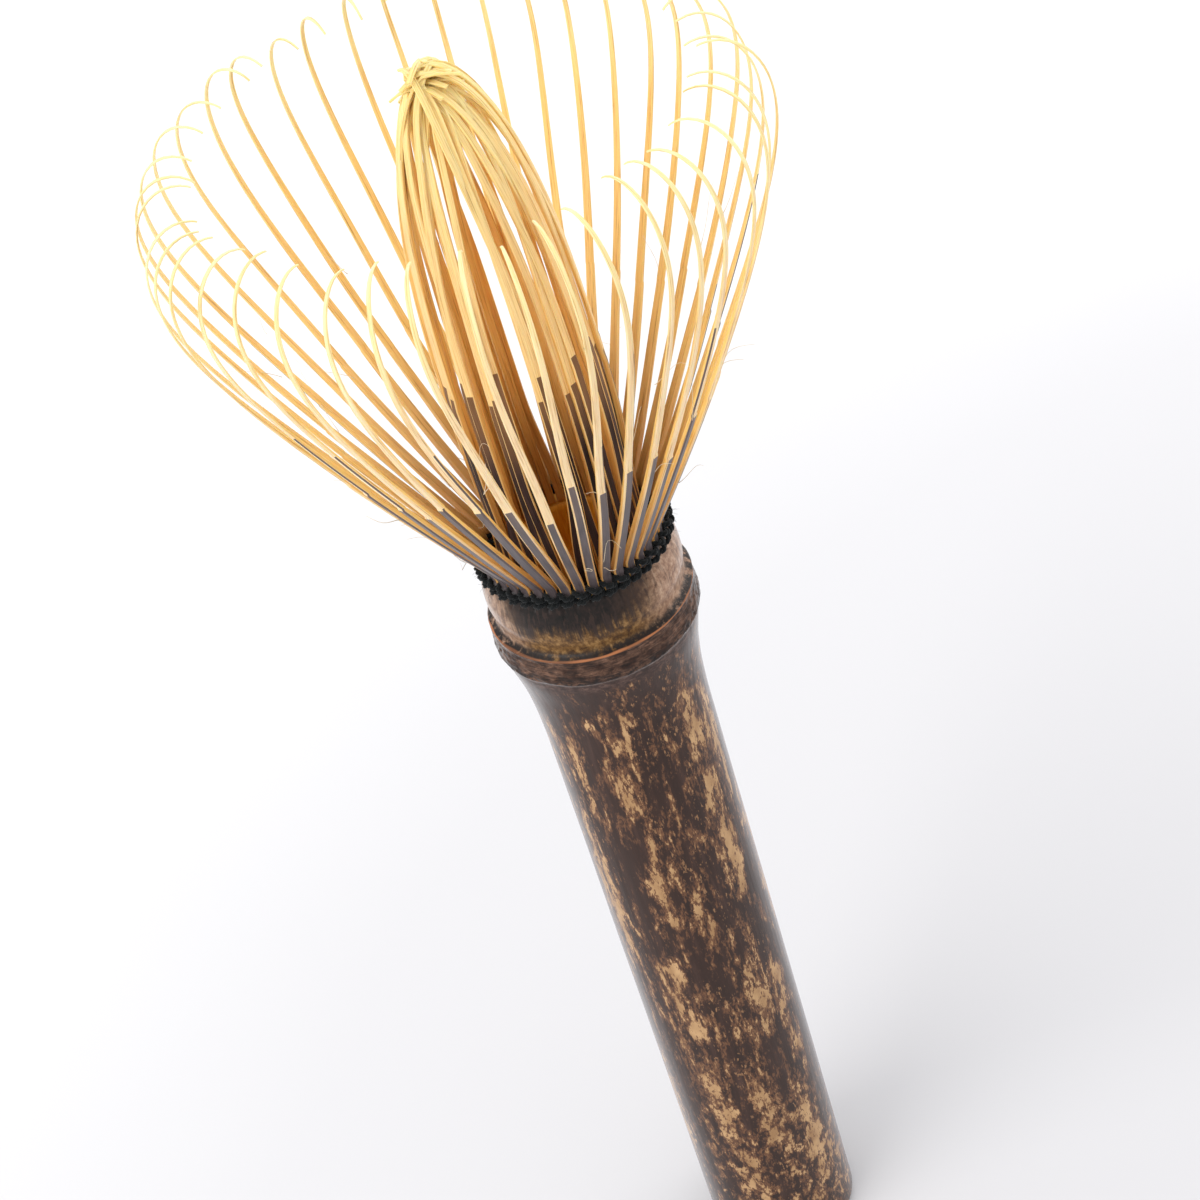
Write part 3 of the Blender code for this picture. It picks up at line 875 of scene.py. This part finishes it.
def make_outer_tine(body, number, materials):
    """One blade of the outer row: splayed, curled in at its tip, and with small faults of its own."""
    rng = Random(OUTER_SEED + number)
    angle = azimuth_of(body)
    wide = (0.5 + 0.5 * cos(angle - WIDEST_SIDE)) ** 2
    splay = between(*OUTER_SPLAY, wide) + radians(rng.uniform(-0.6, 0.6))
    curl_start = between(*CURL_START, wide) + rng.uniform(-0.9, 0.9) * MM
    length = curl_start + CURL_LENGTH + rng.uniform(-0.6, 0.6) * MM
    rate = between(*CURL_RATE, wide) * rng.uniform(0.94, 1.06)
    skin = SKIN_LENGTH + rng.gauss(0, 1.3) * MM
    sideways = (rng.uniform(-0.9, 0.9) - 0.6 * wide) * MM
    roll = radians(rng.uniform(-7, 7))
    slimness = rng.uniform(0.92, 1.08)
    edge_side = rng.choice((RIGHT_CHAMFER, LEFT_CHAMFER, None))
    edge_length = rng.uniform(*EDGE_LINE_LENGTHS)
    curve = outer_meridian(splay, OUTER_BOW, rate, curl_start, length)
    wobble = rng.uniform(0, 2 * pi)
    stations = []
    for s in outer_lengths(length, skin):
        radius, height, lean = (np.interp(s, curve[0], values) for values in curve[1:])
        share = s / length
        wave = 0.10 * MM * sin(wobble + s / (5.5 * MM)) * smooth(share, 0.05, 0.4)
        drift = sideways * share * share + wave
        sunk = 0.0 if s < skin + 0.01 * MM else SKIN_THICKNESS
        lean_side = 2 * sideways * share / length
        along = radial(angle) * sin(lean) + Vector((0, 0, cos(lean))) + tangential(angle) * lean_side
        along.normalize()
        across = (tangential(angle) - along * tangential(angle).dot(along)).normalized()
        across = Matrix.Rotation(roll * smooth(share, 0.05, 0.7), 3, along) @ across
        outward = -along.cross(across)
        point = radial(angle) * radius + Vector((0, 0, height)) + tangential(angle) * drift - outward * sunk
        width = between(*OUTER_WIDTHS, share ** 1.35) * between(1.0, slimness, smooth(share, 0.05, 0.3))
        width *= 1 - 0.35 * smooth(share, 0.93, 1.0)
        thickness = between(*OUTER_THICKNESSES, share ** 0.7) - 0.8 * sunk * (1 - share)
        chamfer = min(0.15 * MM, 0.17 * width, 0.4 * thickness)
        skins = [OUTER_FACE] if s < skin - 0.01 * MM else []
        if s < edge_length and edge_side:
            skins.append(edge_side)
        stations.append(Station(point, along, across, width, thickness, chamfer, s, share, skins))
    piece = blade_mesh(f"{body}_blade", stations, materials, number)
    settle(piece, body, "outer_tine_bamboo", body)


def make_outer_tines():
    pale, golden = (0.980, 0.750, 0.460), (0.950, 0.640, 0.220)
    tip, root = (1.000, 0.830, 0.460), (0.660, 0.370, 0.120)
    split = split_bamboo("outer_split_bamboo", pale, golden, tip, root)
    skin = tine_skin("outer_tine_skin", (0.048, 0.036, 0.038), (0.135, 0.105, 0.106), 0.32, 0.5, 0.25)
    for number, body in enumerate(OUTER_BODIES, 1):
        make_outer_tine(body, number, [split, skin])


# ---------------------------------------------------------------- inner tines

def inner_line(angle, spread, behind, rng):
    """The outer face's line of an inner blade, as points from its root to its tip across the knot."""
    facing = cos(angle)
    swell = (8.35 + 0.5 * facing + rng.uniform(-0.25, 0.25)) * MM
    power, shoulder = 2.6, 1.9 + 0.3 * facing + rng.uniform(-0.12, 0.12)
    top = KNOT_HEIGHT + rng.uniform(-1.6, 1.2) * MM
    swirl = rng.uniform(-1.5, 1.5) * MM
    reach = rng.choice((-0.6, 0.4, 1.2, 2.0, 2.8, 3.6)) * MM
    droop = rng.uniform(0.05, 0.16) / MM
    flat = []
    rise = SWELL_HEIGHT - THREAD_LOW
    for k in range(RISE_STEPS + 1):
        t = k / RISE_STEPS
        radius = between(INNER_ROOT_RADIUS, swell, smooth(t))
        flat.append((radius, THREAD_LOW + rise * t))
    for k in range(1, KNOT_STEPS + 1):
        turn = pi / 2 * k / KNOT_STEPS
        radius = swell * max(cos(turn), 0.0) ** (2 / shoulder)
        if radius > -reach:
            flat.append((radius, SWELL_HEIGHT + (top - SWELL_HEIGHT) * sin(turn) ** (2 / power)))
    if reach > 0:
        flat += [(-reach * q, top - droop * (reach * q) ** 2) for q in (0.3, 0.65, 1.0)]
    points = []
    for radius, height in flat:
        gather = smooth(height, *GATHER_HEIGHTS)
        to_knot = smooth(height, *CROSSING_HEIGHTS)
        sideways = spread * gather * smooth(radius, 0.0, 4 * MM) + swirl * to_knot
        inward = behind * gather * (1 - to_knot)
        flat_place = radial(angle) * (radius - inward) + tangential(angle) * sideways
        points.append(flat_place + Vector((0, 0, height)))
    return points


def even_points(points, spacing):
    """The same line with points at about even spacing, and the length at each."""
    steps = [0.0]
    for a, b in zip(points, points[1:]):
        steps.append(steps[-1] + (b - a).length)
    count = max(2, round(steps[-1] / spacing))
    at = np.linspace(0, steps[-1], count + 1)
    columns = [np.interp(at, steps, [p[axis] for p in points]) for axis in range(3)]
    return at, [Vector(p) for p in zip(*columns)]


def make_inner_tine(fork, angle, offset, number, materials):
    """One of a fork's three blades; offset is its place in the bundle and angle the fork's azimuth."""
    rng = Random(INNER_SEED + number)
    bundle = Random(fork)
    own = angle + offset * PITCH
    packed = bundle.uniform(0.62, 0.86) * MM
    from_parting = ((angle - PARTING + pi) % (2 * pi) - pi) / PARTING_WIDTH
    parted = from_parting * exp(0.5 - 0.5 * from_parting ** 2)
    bundle_shift = (bundle.uniform(-0.45, 0.45) * (1 - abs(parted)) + 0.65 * parted) * MM
    spread = bundle_shift - offset * (GATHER_RADIUS * tan(PITCH) - packed) + rng.uniform(-0.10, 0.10) * MM
    behind = (0.75 if offset == bundle.choice(BUNDLE_PLACES) else 0.0) * MM + rng.uniform(-0.1, 0.2) * MM
    lengths, points = even_points(inner_line(own, spread, behind, rng), INNER_SPACING)
    skin = (INNER_SKIN_LENGTH + rng.gauss(0, 1.3)) * MM
    roll = radians(rng.uniform(-28, 28))
    side = tangential(own)
    total = lengths[-1]
    slimness = rng.uniform(0.88, 1.05)
    stations = []
    for i, (s, point) in enumerate(zip(lengths, points)):
        before, after = points[max(i - 1, 0)], points[min(i + 1, len(points) - 1)]
        along = (after - before).normalized()
        across = (side - along * side.dot(along)).normalized()
        share = s / total
        across = Matrix.Rotation(roll * smooth(share, 0.10, 0.95), 3, along) @ across
        sunk = 0.0 if s < skin else SKIN_THICKNESS
        outward = -along.cross(across)
        width = slimness * between(*INNER_WIDTHS, share ** 1.7) * (1 - 0.2 * smooth(share, 0.96, 1.0))
        thickness = between(*INNER_THICKNESSES, share ** 0.8)
        chamfer = min(0.09 * MM, 0.1 * width, 0.25 * thickness)
        skins = [OUTER_FACE] if s < skin else []
        place = point - outward * sunk
        stations.append(Station(place, along, across, width, thickness, chamfer, s, share, skins))
    piece = blade_mesh(f"inner_tine_{number:02d}_blade", stations, materials, 60 + number)
    settle(piece, fork, "inner_tine_bamboo", fork)


def make_inner_tines():
    pale, golden = (0.940, 0.670, 0.310), (0.930, 0.600, 0.200)
    tip, root = (1.000, 0.780, 0.340), (0.580, 0.320, 0.095)
    split = split_bamboo("inner_split_bamboo", pale, golden, tip, root)
    skin = tine_skin("inner_tine_skin", (0.006, 0.003, 0.003), (0.058, 0.030, 0.026), 0.42, 0.20, 1.0)
    number = 0
    for fork in FORK_BODIES:
        for offset in BUNDLE_PLACES:
            number += 1
            make_inner_tine(fork, azimuth_of(fork), offset, number, [split, skin])


# ---------------------------------------------------------------- loose fibres

def make_fibre(name, start, aim, length, thickness, curl, material):
    """A fine fibre that has sprung off a blade: a tapered, curled hair."""
    sideways = aim.orthogonal().normalized()
    other = aim.cross(sideways)
    path, radii = [], []
    for k in range(FIBRE_STEPS + 1):
        t = k / FIBRE_STEPS
        sway = length * 0.22 * (sideways * sin(curl[0] * t) * t + other * sin(curl[1] * t + 0.6) * t * t)
        path.append(start + aim * (length * t) + sway)
        radii.append(thickness * (1 - 0.6 * k / FIBRE_STEPS))
    return make_piece(name, *tube(path, radii, FIBRE_SIDES), [material])


def make_fibres():
    rng = Random(FIBRE_SEED)
    material = pale_fibre()
    for number in range(1, FIBRES + 1):
        body = rng.choice(OUTER_BODIES)
        angle = azimuth_of(body)
        s = rng.uniform(2.5, 34.0) * MM
        lean = OUTER_SPLAY[0] - OUTER_BOW * s
        radius = OUTER_ROOT_RADIUS + s * sin(lean) - 0.3 * MM
        start = radial(angle) * radius + Vector((0, 0, THREAD_LOW + 0.8 * MM + s * cos(lean)))
        start += tangential(angle) * rng.choice((-0.35, 0.35)) * MM
        along = radial(angle) * sin(lean) + Vector((0, 0, cos(lean)))
        aim = (along * rng.uniform(0.3, 1.0) + tangential(angle) * rng.uniform(-0.5, 0.5)).normalized()
        aim = (aim + radial(angle) * rng.uniform(0.05, 0.6)).normalized()
        curl = (rng.uniform(1, 5), rng.uniform(1, 4))
        length = rng.choice((2.0, 3.0, 4.0, 5.5, 8.0)) * rng.uniform(0.8, 1.2) * MM
        thickness = rng.uniform(0.030, 0.050) * MM
        fibre = make_fibre(f"loose_fibre_{number:02d}", start, aim, length, thickness, curl, material)
        settle(fibre, body, "outer_tine_bamboo")


# ---------------------------------------------------------------- floor, light and camera

def make_floor():
    half, steps = 3.0, 6
    marks = [half * (2 * i / steps - 1) for i in range(steps + 1)]
    vertices = [Vector((x, y, 0)) for y in marks for x in marks]
    faces = []
    for j in range(steps):
        for i in range(steps):
            a = j * (steps + 1) + i
            faces.append((a, a + 1, a + steps + 2, a + steps + 1))
    make_piece("floor", vertices, faces, [floor_paper()])


def area_light(name, place, target, size, power, color):
    data = bpy.data.lights.new(name, "AREA")
    data.shape = "DISK"
    data.size = size
    data.energy = power
    data.color = color
    light = bpy.data.objects.new(name, data)
    light.location = place
    light.visible_camera = False
    light.rotation_euler = (Vector(target) - Vector(place)).to_track_quat("-Z", "Y").to_euler()
    bpy.context.scene.collection.objects.link(light)


def make_light():
    world = bpy.data.worlds.new("studio")
    bpy.context.scene.world = world
    world.use_nodes = True
    background = world.node_tree.nodes["Background"]
    background.inputs["Color"].default_value = (0.97, 0.98, 1.0, 1.0)
    background.inputs["Strength"].default_value = 0.88
    middle = (0.0, 0.0, 0.09)
    area_light("key", (-0.50, -0.30, 0.62), middle, 0.6, 3.2, (1.0, 0.985, 0.965))
    area_light("side", (0.66, 0.24, 0.40), middle, 0.5, 1.7, (1.0, 0.97, 0.94))
    area_light("back", (0.25, 0.75, 0.65), middle, 0.6, 2.4, (1.0, 1.0, 1.0))


def make_camera():
    """A 75 mm lens above the front of the whisk, looking down on it and rolled to one side."""
    target = Vector((0.73 * MM, 0.0, RIDGE - 1.71 * MM))
    azimuth, elevation, roll = radians(-90.2), radians(38.88), radians(17.75)
    distance = 267.9 * MM
    back = radial(azimuth) * cos(elevation) + Vector((0, 0, sin(elevation)))
    level_right = tangential(azimuth)
    level_up = back.cross(level_right)
    right = level_right * cos(roll) - level_up * sin(roll)
    up = back.cross(right)
    data = bpy.data.cameras.new("camera")
    data.lens = 75.0
    data.sensor_width = 36.0
    data.clip_start = 0.01
    camera = bpy.data.objects.new("camera", data)
    turned = Matrix((right, up, back)).transposed().to_4x4()
    camera.matrix_world = Matrix.Translation(target + back * distance) @ turned
    bpy.context.scene.collection.objects.link(camera)
    bpy.context.scene.camera = camera


def main():
    make_camera()
    make_culm()
    make_thread()
    make_outer_tines()
    make_inner_tines()
    make_fibres()
    make_floor()
    make_light()
    settings = bpy.context.scene.view_settings
    settings.view_transform = "Standard"
    settings.look = "None"


main()
